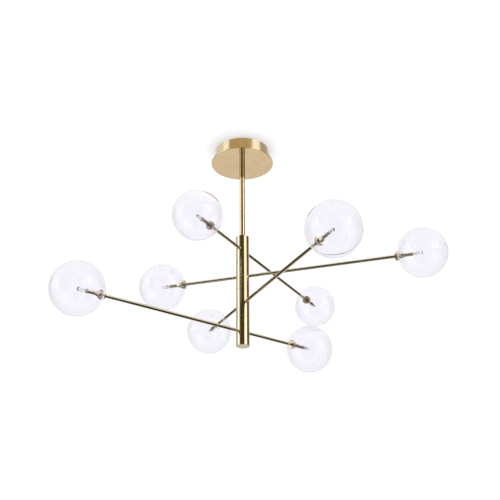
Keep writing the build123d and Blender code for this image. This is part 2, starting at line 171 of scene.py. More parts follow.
# Radii of the rounded corners
ROD_CORNER = 0.2
PLATE_CORNER = 0.35
SPACER_CORNER = 0.15
MODULE_CORNER = 0.25
TUBE_CORNER = 0.15
COLLAR_CORNER = 0.5
STEM_CORNER = 0.35
CERAMIC_CORNER = 0.3

# Rounding: an arc takes this share of its shorter side at most, corners flatter than this half angle stay,
# and the guard point stands this many setbacks from the corner
MOST_OF_SIDE = 0.45
FLAT_CORNER = radians(85)
GUARD = 1.1

# Edges that turn by more than this are shaded sharp. Points merge that agree to a ten-thousandth of a
# millimetre
SHARP_ANGLE = radians(34)
MERGED_PARTS = 1e4

# Colours of the metals and glasses. Tarnish is the share of each colour that is left in the darker clouds
BRASS = (0.88, 0.72, 0.48)
PALE_BRASS = (0.86, 0.78, 0.64)
TARNISH = (0.94, 0.92, 0.88)
GLOBE_TINT = (0.967, 0.957, 0.994)
CAPSULE_TINT = (0.99, 0.99, 1.0)
GLASS_IOR = 1.46

# Brushes on brass: size of the cylinder of noise across and along the piece, and the noise's scale
ROUND_BRUSH = (1.1, 2600.0, 1.0)
LENGTHWISE_BRUSH = (9.0, 60.0, 6.0)

# Brass: how rough it is at least, what streaks and clouds add to that, and how deep the streaks are
BRASS_ROUGHNESS = 0.07
STREAK_ROUGHNESS = 0.06
STREAK_BUMP = 0.05
STREAK_DEPTH = 0.00004
CLOUD_ROUGHNESS = 0.03
CLOUD_SCALE = 22.0
CLOUD_STEP = (0.3, 0.75)

# Dull surfaces: what the grain does to roughness and shape, and the larger, slightly darker patches
GRAIN_ROUGHNESS = 0.12
GRAIN_BUMP = 0.25
PATCH_SCALE = 0.04
PATCH_STEP = (0.3, 0.7)
PATCH_TONE = 0.88

RIPPLE_DEPTH = 0.001


class Value:
    """One output of a node. Arithmetic on it adds the Math node that works it out."""

    def __init__(self, tree, socket):
        self.tree = tree
        self.socket = socket

    def __add__(self, other):
        return self.tree.math("ADD", self, other)

    def __sub__(self, other):
        return self.tree.math("SUBTRACT", self, other)

    def __rsub__(self, other):
        return self.tree.math("SUBTRACT", other, self)

    def __mul__(self, other):
        return self.tree.math("MULTIPLY", self, other)

    __radd__ = __add__
    __rmul__ = __mul__

    def between(self, low, high):
        """0 below low, 1 above high, and a soft step from one to the other."""
        settings = {"interpolation_type": "SMOOTHSTEP"}
        sockets = {"Value": self, "From Min": low, "From Max": high}
        return self.tree.add("ShaderNodeMapRange", settings, sockets)

    def at_least(self, count):
        """1 where a count has come to that number, and 0 below it."""
        return self.tree.math("GREATER_THAN", self, count - 0.5)


class Tree:
    """A node tree, empty but for what is added. Colours are given as three numbers."""

    def __init__(self, owner):
        owner.use_nodes = True
        self.nodes = owner.node_tree.nodes
        self.links = owner.node_tree.links
        self.nodes.clear()

    def add(self, kind, settings=None, inputs=None, output=0):
        """Add a node, set it up, fill its sockets with values or links, and give back one output."""
        node = self.nodes.new(kind)
        for name, value in (settings or {}).items():
            if name == "stops":
                ramp = node.color_ramp
                while len(ramp.elements) < len(value):
                    ramp.elements.new(1.0)
                for element, (place, colour) in zip(ramp.elements, value):
                    element.position = place
                    element.color = (*colour, 1.0)
            else:
                setattr(node, name, value)
        for name, value in (inputs or {}).items():
            socket = node.inputs[name]
            if isinstance(value, Value):
                self.links.new(value.socket, socket)
            elif socket.type == "RGBA":
                socket.default_value = (*value, 1.0)
            else:
                socket.default_value = value
        return Value(self, node.outputs[output]) if len(node.outputs) else None

    def math(self, operation, *operands):
        """What a Math node makes of values or numbers."""
        return self.add("ShaderNodeMath", {"operation": operation}, dict(enumerate(operands)))

    def parts(self, vector):
        """The three numbers of a vector."""
        first = self.add("ShaderNodeSeparateXYZ", {}, {0: vector})
        return [Value(self, output) for output in first.socket.node.outputs]

    def vector(self, x, y, z):
        return self.add("ShaderNodeCombineXYZ", {}, {0: x, 1: y, 2: z})

    def object_place(self):
        """Where a point is on its object, in metres."""
        return self.add("ShaderNodeTexCoord", output="Object")

    def noise(self, vector, scale, detail=2.0, roughness=0.5):
        sockets = {"Vector": vector, "Scale": scale, "Detail": detail, "Roughness": roughness}
        return self.add("ShaderNodeTexNoise", {}, sockets)

    def mix(self, share, first, second):
        """Colour between two others."""
        return self.add("ShaderNodeMix", {"data_type": "RGBA"}, {0: share, 6: first, 7: second}, output=2)

    def bump(self, height, strength, distance):
        return self.add("ShaderNodeBump", {}, {"Height": height, "Strength": strength, "Distance": distance})


def new_material(name, shader_inputs):
    """A material with a Principled shader, whose sockets come from a function of its tree."""
    material = bpy.data.materials.new(name)
    tree = Tree(material)
    shader = tree.add("ShaderNodeBsdfPrincipled", {}, shader_inputs(tree))
    tree.add("ShaderNodeOutputMaterial", {}, {"Surface": shader})
    return material


def satin_brass(name, colour, lengthwise):
    """Brass with a fine satin brush that runs round a turned piece, or along it when lengthwise.

    The brush is noise read on a cylinder: the share of the turn goes round it and the distance along the
    outline goes up it, each stretched until the noise draws out into streaks.
    """

    def inputs(tree):
        across, along, scale = LENGTHWISE_BRUSH if lengthwise else ROUND_BRUSH
        u, v, _ = tree.parts(tree.add("ShaderNodeUVMap", {"uv_map": "turned"}))
        turn = u * (2 * pi)
        place = tree.vector(tree.math("COSINE", turn) * across, tree.math("SINE", turn) * across, v * along)
        streaks = tree.noise(place, scale, detail=4.0, roughness=0.62)
        cloud = tree.noise(tree.object_place(), CLOUD_SCALE, detail=3.0)
        darker = tuple(part * share for part, share in zip(colour, TARNISH))
        return {
            "Base Color": tree.mix(cloud.between(*CLOUD_STEP), colour, darker),
            "Metallic": 1.0,
            "Roughness": BRASS_ROUGHNESS + streaks * STREAK_ROUGHNESS + cloud * CLOUD_ROUGHNESS,
            "Normal": tree.bump(streaks, STREAK_BUMP, STREAK_DEPTH),
        }

    return new_material(name, inputs)


def clear_glass(name, tint, ripple, ripple_scale):
    """Glass with the faintest tint, and the slow ripple that blowing leaves."""

    def inputs(tree):
        waves = tree.noise(tree.object_place(), ripple_scale, detail=1.0)
        return {
            "Base Color": tint,
            "Roughness": 0.0,
            "IOR": GLASS_IOR,
            "Transmission Weight": 1.0,
            "Normal": tree.bump(waves, ripple, RIPPLE_DEPTH),
        }

    return new_material(name, inputs)


def grained(name, colour, roughness, scale, depth, metallic=0.0):
    """Matt or dull surface with a fine grain and a little unevenness of tone."""

    def inputs(tree):
        place = tree.object_place()
        grain = tree.noise(place, scale, detail=3.0)
        patches = tree.noise(place, scale * PATCH_SCALE)
        darker = tuple(part * PATCH_TONE for part in colour)
        return {
            "Base Color": tree.mix(patches.between(*PATCH_STEP), colour, darker),
            "Metallic": metallic,
            "Roughness": roughness + (grain - 0.5) * GRAIN_ROUGHNESS,
            "Normal": tree.bump(grain, GRAIN_BUMP, depth),
        }

    return new_material(name, inputs)


BRASS_TURNED = satin_brass("satin_brass_turned", BRASS, lengthwise=False)
BRASS_DRAWN = satin_brass("satin_brass_drawn", BRASS, lengthwise=True)
PALE_BRASS_DRAWN = satin_brass("satin_pale_brass_drawn", PALE_BRASS, lengthwise=True)
PALE_BRASS_TURNED = satin_brass("satin_pale_brass_turned", PALE_BRASS, lengthwise=False)
GLOBE_GLASS = clear_glass("blown_globe_glass", GLOBE_TINT, 0.035, 14.0)
BULB_GLASS = clear_glass("capsule_glass", CAPSULE_TINT, 0.02, 160.0)
CERAMIC = grained("steatite", (0.78, 0.74, 0.66), 0.55, 900.0, 0.00003)
PLATED_STEEL = grained("zinc_plated_steel", (0.58, 0.59, 0.6), 0.34, 700.0, 0.00002, metallic=1.0)
SCREW_BRASS = grained("screw_brass", BRASS, 0.2, 900.0, 0.00001, metallic=1.0)
TUNGSTEN = grained("tungsten", (0.5, 0.49, 0.48), 0.4, 3000.0, 0.00001, metallic=1.0)
CASE_PLASTIC = grained("driver_case", (0.83, 0.83, 0.8), 0.48, 1200.0, 0.00003)
TERMINAL_PLASTIC = grained("terminal_plastic", (0.76, 0.76, 0.7), 0.38, 600.0, 0.00001)
SHEATH = grained("lead_sheath", (0.7, 0.68, 0.62), 0.62, 900.0, 0.00001)
WASHER_PLASTIC = grained("washer_plastic", (0.85, 0.84, 0.8), 0.5, 900.0, 0.00001)


def rounded(points, radius, closed=True, steps=4):
    """The outline with each corner replaced by an arc that touches both of its sides.

    The arc's radius is the one given, or less where a side is too short for it. A corner's points lie
    on the circle whose centre is on the corner's bisector, above equal steps of the chord, and a guard
    point on each side, a tenth of the setback farther on, keeps the shading of long straight runs flat.
    """
    points = [np.array(point, float) for point in points]
    last = len(points) - 1
    made = []
    for index, corner in enumerate(points):
        if not closed and index in (0, last):
            made.append(corner)
            continue
        before = points[index - 1] - corner
        after = points[(index + 1) % len(points)] - corner
        reach = MOST_OF_SIDE * min(np.linalg.norm(before), np.linalg.norm(after))
        before = before / np.linalg.norm(before)
        after = after / np.linalg.norm(after)
        half = np.arccos(np.clip(before @ after, -1, 1)) / 2
        if half > FLAT_CORNER:
            made.append(corner)
            continue
        setback = min(radius / np.tan(half), reach)
        arc_radius = setback * np.tan(half)
        centre = corner + (before + after) / np.linalg.norm(before + after) * (arc_radius / np.sin(half))
        start = corner + before * setback - centre
        end = corner + after * setback - centre
        made.append(corner + before * setback * GUARD)
        for share in np.linspace(0, 1, steps + 1):
            spoke = start * (1 - share) + end * share
            made.append(centre + spoke / np.linalg.norm(spoke) * arc_radius)
        made.append(corner + after * setback * GUARD)
    return np.array(made)


def arc(centre, radius, start, end, steps):
    """Points of a circle's arc in the plane of an outline, from one angle in degrees to another."""
    angle = np.radians(np.linspace(start, end, steps + 1))
    return np.column_stack((centre[0] + radius * np.cos(angle), centre[1] + radius * np.sin(angle)))


def square_to(axis):
    """Two unit vectors square to the axis and to each other: one level, the other the nearest to up.

    For an upright axis they are the directions of x and y.
    """
    axis = np.array(axis, float)
    level = np.cross((0, 0, 1), axis)
    if not level.any():
        level = np.array((1.0, 0, 0))
    level = level / np.linalg.norm(level)
    return level, np.cross(axis, level)


def new_piece(name, points, faces, material, uv=None):
    """Mesh object at the origin from points in millimetres, with smooth faces and sharp corners."""
    mesh = bpy.data.meshes.new(name)
    mesh.from_pydata((points * MM).tolist(), [], faces)
    if uv is not None:
        layer = mesh.uv_layers.new(name="turned")
        layer.data.foreach_set("uv", uv.astype(np.float32).ravel())
    mesh.shade_smooth()
    mesh.set_sharp_from_angle(angle=SHARP_ANGLE)
    mesh.update()
    mesh.materials.append(material)
    piece = bpy.data.objects.new(name, mesh)
    bpy.context.scene.collection.objects.link(piece)
    return piece


def turned_surface(outline, origin, axis, around):
    """Surface of revolution of a closed outline about an axis, as points, four-sided faces and UVs.

    The outline is (distance along the axis, radius). A point at turn t is the origin, plus its
    distance times the axis, plus its radius times (level cos t + upright sin t). The last column of
    faces closes on the first column of points, and the outline's signed area says which way round the
    faces go, so that they face out of it. The UV is the share of the turn and the distance along the
    outline in metres.
    """
    outline = np.array(outline, float)
    along, radius = outline.T
    following = np.roll(outline, -1, axis=0)
    area = np.sum(outline[:, 0] * following[:, 1] - following[:, 0] * outline[:, 1])
    level, upright = square_to(axis)
    turn = np.linspace(0, 2 * pi, around, endpoint=False)
    ring = np.outer(np.cos(turn), level) + np.outer(np.sin(turn), upright)
    points = (np.array(origin, float) + along[:, None, None] * np.array(axis, float)
              + radius[:, None, None] * ring[None]).reshape(-1, 3)
    rows = len(outline)
    row = np.arange(rows)[:, None]
    column = np.arange(around)[None]
    next_row = (row + 1) % rows
    next_column = (column + 1) % around
    faces = np.stack((
        row * around + column, row * around + next_column,
        next_row * around + next_column, next_row * around + column,
    ), axis=-1).reshape(-1, 4)
    length = np.concatenate(([0], np.cumsum(np.linalg.norm(np.diff(outline, axis=0), axis=1)))) * MM
    closing = length[-1] + np.linalg.norm(outline[0] - outline[-1]) * MM
    left = np.broadcast_to(column / around, (rows, around))
    right = left + 1 / around
    low = np.broadcast_to(length[:, None], (rows, around))
    high = np.broadcast_to(np.append(length[1:], closing)[:, None], (rows, around))
    uv = np.stack((
        np.stack((left, low), -1), np.stack((right, low), -1),
        np.stack((right, high), -1), np.stack((left, high), -1),
    ), axis=2).reshape(-1, 4, 2)
    if area > 0:
        faces = faces[:, ::-1]
        uv = uv[:, ::-1]
    return points, faces, uv


def turned(name, outlines, places, material, around=96):
    """One piece of several turned solids: each outline goes to its own origin and axis.

    Faces that shrink to a line on the axis are dropped, and points that meet there are merged.
    """
    all_points = []
    all_faces = []
    all_uv = []
    count = 0
    for outline, (origin, axis) in zip(outlines, places):
        points, faces, uv = turned_surface(outline, origin, axis, around)
        all_points.append(points)
        all_faces.append(faces + count)
        all_uv.append(uv)
        count += len(points)
    points = np.concatenate(all_points)
    keys = np.round(points * MERGED_PARTS).astype(np.int64)
    _, first, same = np.unique(keys, axis=0, return_index=True, return_inverse=True)
    merged_faces = same.reshape(-1)[np.concatenate(all_faces)]
    kept_faces = []
    kept_uv = []
    for corners, corner_uv in zip(merged_faces.tolist(), np.concatenate(all_uv)):
        keep = [number for number in range(4) if corners[number] != corners[number - 1]]
        if len(keep) >= 3 and len({corners[number] for number in keep}) == len(keep):
            kept_faces.append([corners[number] for number in keep])
            kept_uv.append(corner_uv[keep])
    return new_piece(name, points[first], kept_faces, material, np.concatenate(kept_uv))


def capped_tubes(name, grids, material):
    """One piece of closed tubes. A tube is a grid of points: rings along it, points round it, place."""
    all_points = []
    faces = []
    count = 0
    for grid in grids:
        rings, around, _ = grid.shape
        row = count + np.arange(rings - 1)[:, None] * around
        column = np.arange(around)[None]
        following = (column + 1) % around
        walls = (row + column, row + following, row + around + following, row + around + column)
        faces += np.stack(walls, axis=-1).reshape(-1, 4).tolist()
        first_ring = count + np.arange(around)
        faces.append(first_ring[::-1].tolist())
        faces.append((first_ring + (rings - 1) * around).tolist())
        all_points.append(grid.reshape(-1, 3))
        count += rings * around
    return new_piece(name, np.concatenate(all_points), faces, material)


def dress(piece, body, slot, *nodes):
    """Seat a piece on its body, and hide the nodes that it stands for. The slot is not used."""
    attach(piece, body)
    if nodes:
        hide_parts(*nodes)


# Heights from the frame, and the rod's axis: an origin and a direction
joint_heights = [joint["pos_m"][2] / MM for joint in frame["joints"]]
module_boxes = [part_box(f"hub_module_{k}") for k in ARMS]
module_tops = [high[2] / MM for low, high in module_boxes]
module_ends = [low[2] / MM for low, high in module_boxes]
hub_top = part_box("hub_top_disc")[1][2] / MM
cap_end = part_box("hub_end_cap")[0][2] / MM
cap_seat = module_ends[-1]
ceiling_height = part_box("canopy")[1][2] / MM
canopy_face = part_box("canopy")[0][2] / MM
ROD_AXIS = ((0, 0, 0), (0, 0, 1))

# Places along an arm that follow from the globe and its hole
inner_globe = GLOBE_RADIUS - GLOBE_WALL
collar_seat = -sqrt(GLOBE_RADIUS**2 - GLOBE_HOLE**2) - CEMENT
collar_back = collar_seat - COLLAR_THICKNESS
stem_back = collar_back - SHOULDER_LENGTH
socket_end = stem_back + TUBE_SOCKET


def make_canopy():
    """Drum on a wider disc, with a fillet of braze between them and a rounded edge on the disc."""
    floor = canopy_face + CANOPY_PLATE
    edge = CANOPY_RADIUS - CANOPY_EDGE
    inside = DRUM_RADIUS - CANOPY_WALL
    outline = np.concatenate((
        [(ceiling_height, DRUM_RADIUS), (floor + CANOPY_BRAZE + EDGE_GUARD, DRUM_RADIUS)],
        arc((floor + CANOPY_BRAZE, DRUM_RADIUS + CANOPY_BRAZE), CANOPY_BRAZE, 270, 180, steps=4),
        [(floor, edge - EDGE_GUARD)],
        arc((floor - CANOPY_EDGE, edge), CANOPY_EDGE, 0, 90, steps=6),
        arc((canopy_face + CANOPY_EDGE, edge), CANOPY_EDGE, 90, 180, steps=6),
        [(canopy_face, edge - EDGE_GUARD), (canopy_face, CANOPY_HOLE), (floor, CANOPY_HOLE)],
        [(floor, inside), (ceiling_height, inside)],
    ))
    canopy = turned("canopy_shell", [outline], [ROD_AXIS], BRASS_TURNED, around=256)
    dress(canopy, "root", "satin_brass", "canopy")


def make_rod():
    """One tube from the canopy to the end cap: the rod above the hub, and the spindle inside it."""
    outline = rounded([
        (canopy_face, ROD_RADIUS), (cap_seat, ROD_RADIUS), (cap_seat, ROD_BORE), (canopy_face, ROD_BORE),
    ], ROD_CORNER)
    rod = turned("down_rod_tube", [outline], [ROD_AXIS], BRASS_DRAWN)
    dress(rod, "root", "satin_brass", "down_rod")


def make_top_disc():
    """Plate that closes the hub's top."""
    under = hub_top - SPACER
    outline = rounded([
        (hub_top, PLATE_BORE), (hub_top, HUB_RADIUS), (under, HUB_RADIUS), (under, PLATE_BORE),
    ], PLATE_CORNER)
    disc = turned("hub_top_plate", [outline], [ROD_AXIS], BRASS_TURNED)
    dress(disc, "root", "satin_brass", "hub_top_disc")


def make_spacers():
    """A plate below every module but the last, with a spigot that goes up into it."""
    outlines = []
    for end in module_ends[:-1]:
        outlines.append(rounded([
            (end - SPACER, PLATE_BORE), (end - SPACER, HUB_RADIUS), (end, HUB_RADIUS), (end, HUB_SPIGOT),
            (end + SPIGOT_HEIGHT, HUB_SPIGOT), (end + SPIGOT_HEIGHT, PLATE_BORE),
        ], SPACER_CORNER))
    spacers = turned("hub_spacer_rings", outlines, [ROD_AXIS] * len(outlines), BRASS_TURNED)
    dress(spacers, "root", "satin_brass", "hub_spacers")


def make_end_cap():
    """Flat disc, with a spigot for the lowest module and a plug for the rod's bore."""
    spigot_top = cap_seat + SPIGOT_HEIGHT
    plug_top = cap_seat + CAP_PLUG_HEIGHT
    outline = rounded([
        (cap_end, 0), (cap_end, HUB_RADIUS), (cap_seat, HUB_RADIUS), (cap_seat, HUB_SPIGOT),
        (spigot_top, HUB_SPIGOT), (spigot_top, PLATE_BORE), (cap_seat, PLATE_BORE),
        (cap_seat, CAP_PLUG_RADIUS), (plug_top, CAP_PLUG_RADIUS), (plug_top, 0),
    ], PLATE_CORNER, closed=False)
    cap = turned("hub_end_plate", [outline], [ROD_AXIS], BRASS_TURNED)
    dress(cap, "root", "satin_brass", "hub_end_cap")


def make_module(k):
    """The hub's turning length of tube, with its web at the top."""
    top = module_tops[k - 1]
    end = module_ends[k - 1]
    web_end = top - WEB
    outline = rounded([
        (top, WEB_BORE), (top, HUB_RADIUS), (end, HUB_RADIUS), (end, HUB_BORE), (web_end, HUB_BORE),
        (web_end, WEB_BORE),
    ], MODULE_CORNER)
    module = turned(f"hub_sleeve_{k}", [outline], [ROD_AXIS], BRASS_TURNED, around=128)
    dress(module, f"arm_{k}", "satin_brass", f"hub_module_{k}")


def arm_direction(side, k):
    """Middle of a globe, the level unit vector to it from the rod, and its distance, from the frame."""
    low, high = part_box(f"{side}_globe_{k}")
    middle = (np.array(low) + np.array(high)) / 2 / MM
    middle[2] = joint_heights[k - 1]
    reach = hypot(middle[0], middle[1])
    return middle, np.array((middle[0] / reach, middle[1] / reach, 0)), reach


def make_tube(side, k, direction, reach):
    """Tube of one side of an arm, from inside the hub's module into the stem."""
    end = reach + socket_end
    outline = rounded([
        (TUBE_START, TUBE_BORE), (TUBE_START, TUBE_RADIUS), (end, TUBE_RADIUS), (end, TUBE_BORE),
    ], TUBE_CORNER)
    place = ((0, 0, joint_heights[k - 1]), direction)
    tube = turned(f"{side}_arm_{k}", [outline], [place], PALE_BRASS_DRAWN, around=64)
    dress(tube, f"arm_{k}", "satin_brass", f"{side}_tube_{k}")


def globe_outline():
    """Two arcs of circles about the centre, joined by a fire-polished half-round rim at the hole.

    The rim's circle is centred between the arcs' ends, and starts at the angle of the outer one.
    """
    outer_angle = 180 - np.degrees(np.arcsin(GLOBE_HOLE / GLOBE_RADIUS)) - GLOBE_RIM_ANGLE
    inner_angle = 180 - np.degrees(np.arcsin(GLOBE_HOLE / inner_globe)) - GLOBE_RIM_ANGLE
    outer = arc((0, 0), GLOBE_RADIUS, 0, outer_angle, steps=96)
    inner = arc((0, 0), inner_globe, inner_angle, 0, steps=96)
    middle = (outer[-1] + inner[0]) / 2
    half = np.linalg.norm(outer[-1] - inner[0]) / 2
    facing = np.degrees(np.arctan2(*(outer[-1] - middle)[::-1]))
    rim = arc(middle, half, facing, facing + 180, steps=10)[1:-1]
    outer[0, 1] = 0
    inner[-1, 1] = 0
    return np.concatenate((outer, rim, inner))


def make_globe(side, k, place):
    """Blown globe, with its hole towards the rod."""
    globe = turned(f"{side}_blown_globe_{k}", [globe_outline()], [place], GLOBE_GLASS, around=160)
    dress(globe, f"arm_{k}", "clear_glass", f"{side}_globe_{k}")


def make_collars(k, places):
    """Ring outside the glass, and the barrel that goes through its hole."""
    barrel_end = collar_seat + BARREL_LENGTH
    outline = rounded([
        (collar_back, COLLAR_BORE), (collar_back, COLLAR_RADIUS), (collar_seat, COLLAR_RADIUS),
        (collar_seat, BARREL_RADIUS), (barrel_end, BARREL_RADIUS), (barrel_end, COLLAR_BORE),
    ], COLLAR_CORNER)
    collars = turned(f"collar_rings_{k}", [outline] * 2, places, PALE_BRASS_TURNED, around=80)
    dress(collars, f"arm_{k}", "satin_brass", f"globe_collars_{k}")


def make_stems(k, places):
    """Shoulder, spigot, cone, slim tube and lip outside, and the stepped bore inside."""
    outline = rounded([
        (stem_back, SOCKET_BORE), (stem_back, SHOULDER_RADIUS), (collar_back, SHOULDER_RADIUS),
        (collar_back, STEM_SPIGOT_RADIUS), (STEM_SPIGOT_END, STEM_SPIGOT_RADIUS), (CONE_END, STEM_RADIUS),
        (LIP_BACK, STEM_RADIUS), (LIP_BACK, LIP_RADIUS), (STEM_MOUTH, LIP_RADIUS), (STEM_MOUTH, STEM_BORE),
        (CERAMIC_BACK, STEM_BORE), (CERAMIC_BACK, LEAD_BORE), (socket_end, LEAD_BORE),
        (socket_end, SOCKET_BORE),
    ], STEM_CORNER)
    stems = turned(f"turned_stems_{k}", [outline] * 2, places, PALE_BRASS_TURNED, around=72)
    dress(stems, f"arm_{k}", "satin_brass", f"lamp_stems_{k}")


def make_ceramics(k, places):
    """Plain round inserts in the stems' mouths, which the pinches stand on."""
    outline = rounded([
        (CERAMIC_BACK, 0), (CERAMIC_BACK, CERAMIC_RADIUS), (CERAMIC_FACE, CERAMIC_RADIUS), (CERAMIC_FACE, 0),
    ], CERAMIC_CORNER, closed=False)
    ceramics = turned(f"ceramic_inserts_{k}", [outline] * 2, places, CERAMIC, around=48)
    dress(ceramics, f"arm_{k}", "ceramic", f"lampholders_{k}")


def make_capsules(k, places):
    """Capsules with a round end, a straight wall and a neck that closes on the pinch, and their hollows.

    A hollow is a second surface inside the glass, and its faces point out of it too.
    """
    outer = np.concatenate((
        arc((CAPSULE_TOP, 0), CAPSULE_RADIUS, 0, 90, steps=20),
        arc((NECK_START, NECK_AXIS), NECK_RADIUS, 90, 165, steps=10),
        [(NECK_END, 0)],
    ))
    hollow = np.concatenate((
        arc((CAPSULE_TOP, 0), HOLLOW_RADIUS, 0, 90, steps=18),
        arc((HOLLOW_NECK_START, NECK_AXIS), HOLLOW_NECK_RADIUS, 90, 150, steps=8),
        [(HOLLOW_END, 0)],
    ))
    outer[0, 1] = 0
    hollow[0, 1] = 0
    both_places = [place for place in places for _ in (outer, hollow)]
    capsules = turned(f"capsules_{k}", [outer, hollow] * 2, both_places, BULB_GLASS, around=48)
    dress(capsules, f"arm_{k}", "bulb_glass", f"bulbs_{k}")


def make_pinches(k, places):
    """The flat pinches: a rounded bar under each capsule, from the ceramic into the capsule's neck.

    The bar's section is a rounded rectangle. Its scale along the bar is 1, less the swell, plus the
    swell times a half sine, so the bar is fullest in the middle, as pressed glass is.
    """
    across = PINCH_HALF_WIDTH - PINCH_CORNER
    through = PINCH_HALF_THICKNESS - PINCH_CORNER
    section = np.concatenate([
        arc((right * across, up * through), PINCH_CORNER, start, start + 90, steps=6)
        for right, up, start in ((1, 1, 0), (-1, 1, 90), (-1, -1, 180), (1, -1, 270))
    ])
    stations = np.linspace(CERAMIC_FACE, PINCH_END, PINCH_STATIONS)[:, None, None]
    fullness = np.sin(np.linspace(0, pi, PINCH_STATIONS))[:, None, None]
    scale = 1 + PINCH_SWELL * fullness - PINCH_SWELL
    bars = []
    for middle, axis in places:
        level, upright = square_to(axis)
        ring = section[:, :1] * level + section[:, 1:] * upright
        bars.append(middle + stations * axis + scale * ring[None])
    dress(capped_tubes(f"capsule_pinches_{k}", bars, BULB_GLASS), f"arm_{k}", "bulb_glass")


def wire_along(path, radius):
    """A ring of points carried along a path.

    At turn t a point is the path's, plus the radius times (side cos t + other sin t), where side and other
    are square to the path's heading and to each other.
    """
    heading = np.gradient(path, axis=0)
    heading = heading / np.linalg.norm(heading, axis=1)[:, None]
    side = np.cross(heading, NO_WIRES_HEADING)
    side = side / np.linalg.norm(side, axis=1)[:, None]
    other = np.cross(heading, side)
    turn = np.linspace(0, 2 * pi, WIRE_SIDES, endpoint=False)[None, :, None]
    return path[:, None] + radius * (side[:, None] * np.cos(turn) + other[:, None] * np.sin(turn))


def make_wires(k, places):
    """Each bulb's filament, its two legs and its two foils.

    The filament is a helix about the arm's axis: at share s of its length it stands at an angle of
    2 pi times its turns times s.
    """
    share = np.linspace(0, 1, FILAMENT_TURNS * FILAMENT_TURN_STEPS)
    angle = 2 * pi * FILAMENT_TURNS * share
    helix = np.column_stack((
        FILAMENT_START + (FILAMENT_END - FILAMENT_START) * share,
        FILAMENT_RADIUS * np.cos(angle),
        FILAMENT_RADIUS * np.sin(angle),
    ))
    left_leg = np.linspace((LEG_FOOT, LEG_SPREAD, 0), helix[0], LEG_STEPS)
    right_leg = np.array((*RIGHT_LEG, helix[-1]))
    wires = [wire_along(helix, FILAMENT_WIRE)]
    wires += [wire_along(leg, LEG_WIRE) for leg in (left_leg, right_leg)]
    for spread in (LEG_SPREAD, -LEG_SPREAD):
        foil = np.linspace((FOIL_FOOT, spread, 0), (LEG_FOOT, spread, 0), 3)
        wires.append(wire_along(foil, FOIL_RADIUS))
    placed = []
    for middle, axis in places:
        basis = np.stack((axis, *square_to(axis)))
        placed += [wire @ basis + middle for wire in wires]
    dress(capped_tubes(f"filaments_{k}", placed, TUNGSTEN), f"arm_{k}", "plated_steel")


make_canopy()
make_rod()
make_top_disc()
make_spacers()
make_end_cap()
for k in ARMS:
    make_module(k)
    places = []
    for side in SIDES:
        middle, direction, reach = arm_direction(side, k)
        make_tube(side, k, direction, reach)
        make_globe(side, k, (middle, direction))
        places.append((middle, direction))
    make_collars(k, places)
    make_stems(k, places)
    make_ceramics(k, places)
    make_capsules(k, places)
    make_pinches(k, places)
    make_wires(k, places)

# Finishes of the nodes that stay as they are
STAYING = {
    "ceiling_bracket": PLATED_STEEL, "canopy_screws": SCREW_BRASS, "earth_screw": PLATED_STEEL,
    "rod_nipple": PLATED_STEEL, "rod_washer": PLATED_STEEL, "rod_nut": PLATED_STEEL,
    "stop_pins": PLATED_STEEL, "driver": CASE_PLASTIC, "terminal_block": TERMINAL_PLASTIC,
    "rod_leads": SHEATH, "friction_washers": WASHER_PLASTIC,
    **{f"tube_nuts_{k}": PLATED_STEEL for k in ARMS},
    **{f"arm_leads_{k}": SHEATH for k in ARMS},
}
for node, material in STAYING.items():
    piece = frame["nodes"][node]
    piece.data.materials.clear()
    piece.data.materials.append(material)


def set_camera():
    """Camera at the photograph's place, turned by its yaw, pitch and roll."""
    level = cos(CAMERA_PITCH)
    forward = Vector((sin(CAMERA_YAW) * level, cos(CAMERA_YAW) * level, sin(CAMERA_PITCH)))
    right = Vector((cos(CAMERA_YAW), -sin(CAMERA_YAW), 0))
    up = right.cross(forward)
    turned_right = right * cos(CAMERA_ROLL) + up * sin(CAMERA_ROLL)
    turned_up = up * cos(CAMERA_ROLL) - right * sin(CAMERA_ROLL)
    camera = bpy.data.objects.new("camera", bpy.data.cameras.new("camera"))
    camera.data.sensor_width = SENSOR_WIDTH
    camera.data.lens = SENSOR_WIDTH * FOCAL_PIXELS / PHOTO_PIXELS
    turn = Matrix((turned_right, turned_up, -forward)).transposed()
    place = Vector((0, -CAMERA_DISTANCE, hub_top - CAMERA_DROP)) * MM
    camera.matrix_world = Matrix.Translation(place) @ turn.to_4x4()
    bpy.context.scene.collection.objects.link(camera)
    bpy.context.scene.camera = camera


# Staging, in millimetres. The ring of ceiling fades out between two distances from the rod, in metres
FLOOR_HEIGHT = -1750.0
FLOOR_REACH = 20000.0
FLOOR_PAINT = (0.88, 0.88, 0.88)
RING_INSIDE = 72.0
RING_OUTSIDE = 300.0
RING_GAP = 0.3
RING_STEPS = 128
RING_FADE = (0.16, 0.29)
CEILING_PAINT = (0.94, 0.955, 0.97)
CEILING_GLOW = (0.26, 0.26, 0.27)


def path_count(tree, kind):
    """How many times, or whether, a path of light has met something: a Light Path output."""
    return tree.add("ShaderNodeLightPath", output=kind)


def glossy_share(tree):
    """1 on paths that a mirror-like surface has turned, and 0 on the others."""
    return tree.math("MINIMUM", path_count(tree, "Glossy Depth"), 1.0)


def backfacing(tree):
    """1 on the back of a face, and 0 on its front."""
    return tree.add("ShaderNodeNewGeometry", output="Backfacing")


def staging_material(name, shader):
    """Material that is clear but for a share: both this share and its surface come from a function."""
    material = bpy.data.materials.new(name)
    tree = Tree(material)
    shown, surface = shader(tree)
    clear = tree.add("ShaderNodeBsdfTransparent")
    mixed = tree.add("ShaderNodeMixShader", {}, {0: shown, 1: clear, 2: surface})
    tree.add("ShaderNodeOutputMaterial", {}, {"Surface": mixed})
    return material


def pale_floor(tree):
    """Pale paint. It is clear from below and on mirrored paths."""
    paint = tree.add("ShaderNodeBsdfDiffuse", {}, {"Color": FLOOR_PAINT})
    return (1 - backfacing(tree)) * (1 - glossy_share(tree)), paint


